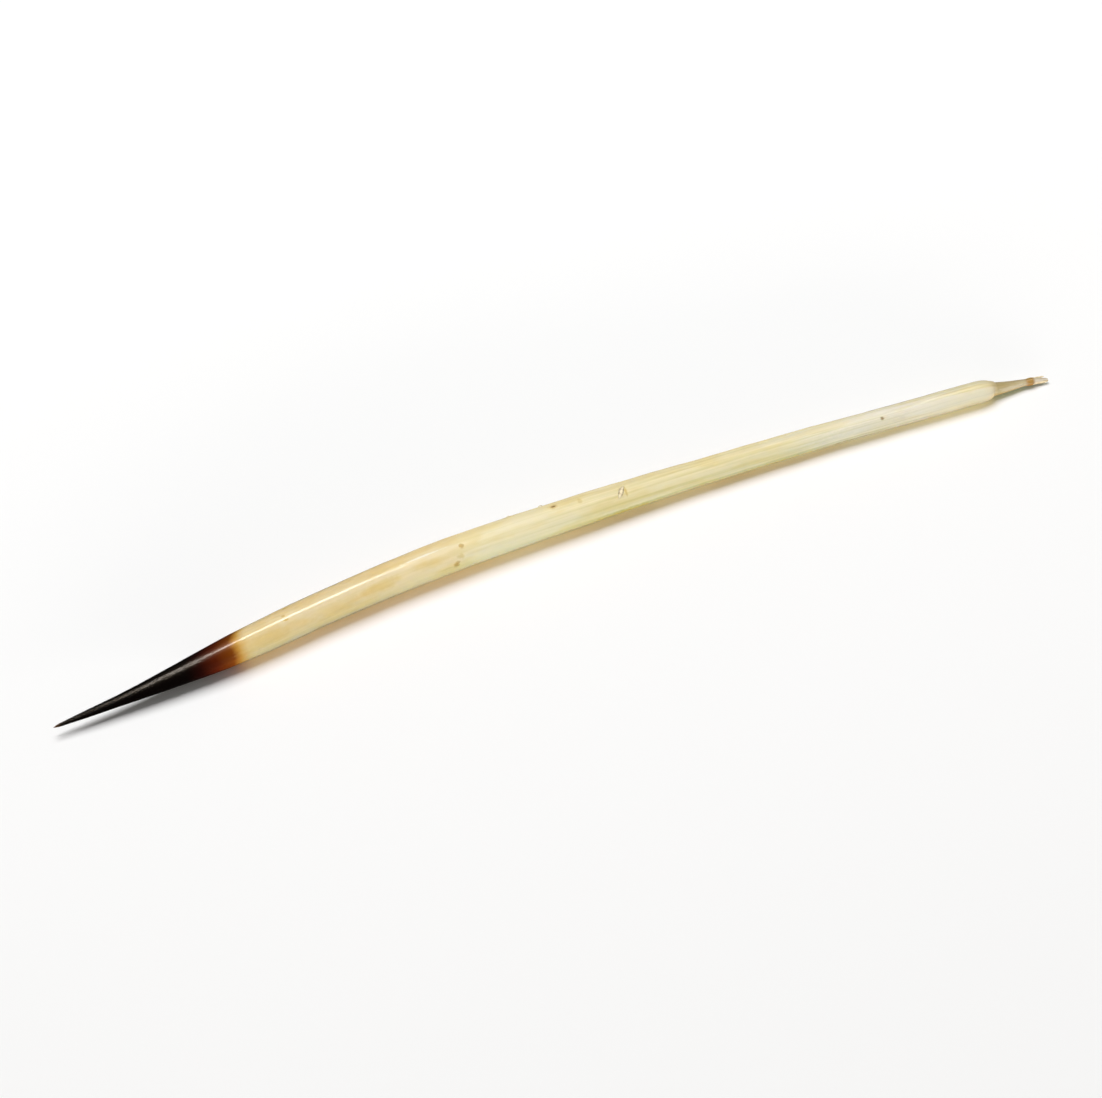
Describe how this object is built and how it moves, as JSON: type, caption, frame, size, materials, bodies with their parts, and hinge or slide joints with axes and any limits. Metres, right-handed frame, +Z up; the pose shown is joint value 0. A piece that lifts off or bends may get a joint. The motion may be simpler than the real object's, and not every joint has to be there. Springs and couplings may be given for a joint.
{
  "type": "porcupine quill",
  "caption": "Slender bowed porcupine quill with a black barbed tip, an ivory shaft and a rounded root with a thin stem, lying on its belly.",
  "frame": {"origin": "below the middle of the bounding box, on the surface that the quill lies on", "axes": "+X along the quill from the tip towards the root, +Z up; the shaft bows towards +Y"},
  "size_m": [0.064, 0.0034, 0.0021],
  "materials": {
    "keratin": "semi-gloss natural keratin: ivory at the root, honey in the middle, brown then black and barbed at the tip"
  },
  "bodies": {
    "root": {"quill": "keratin"}
  },
  "joints": []
}
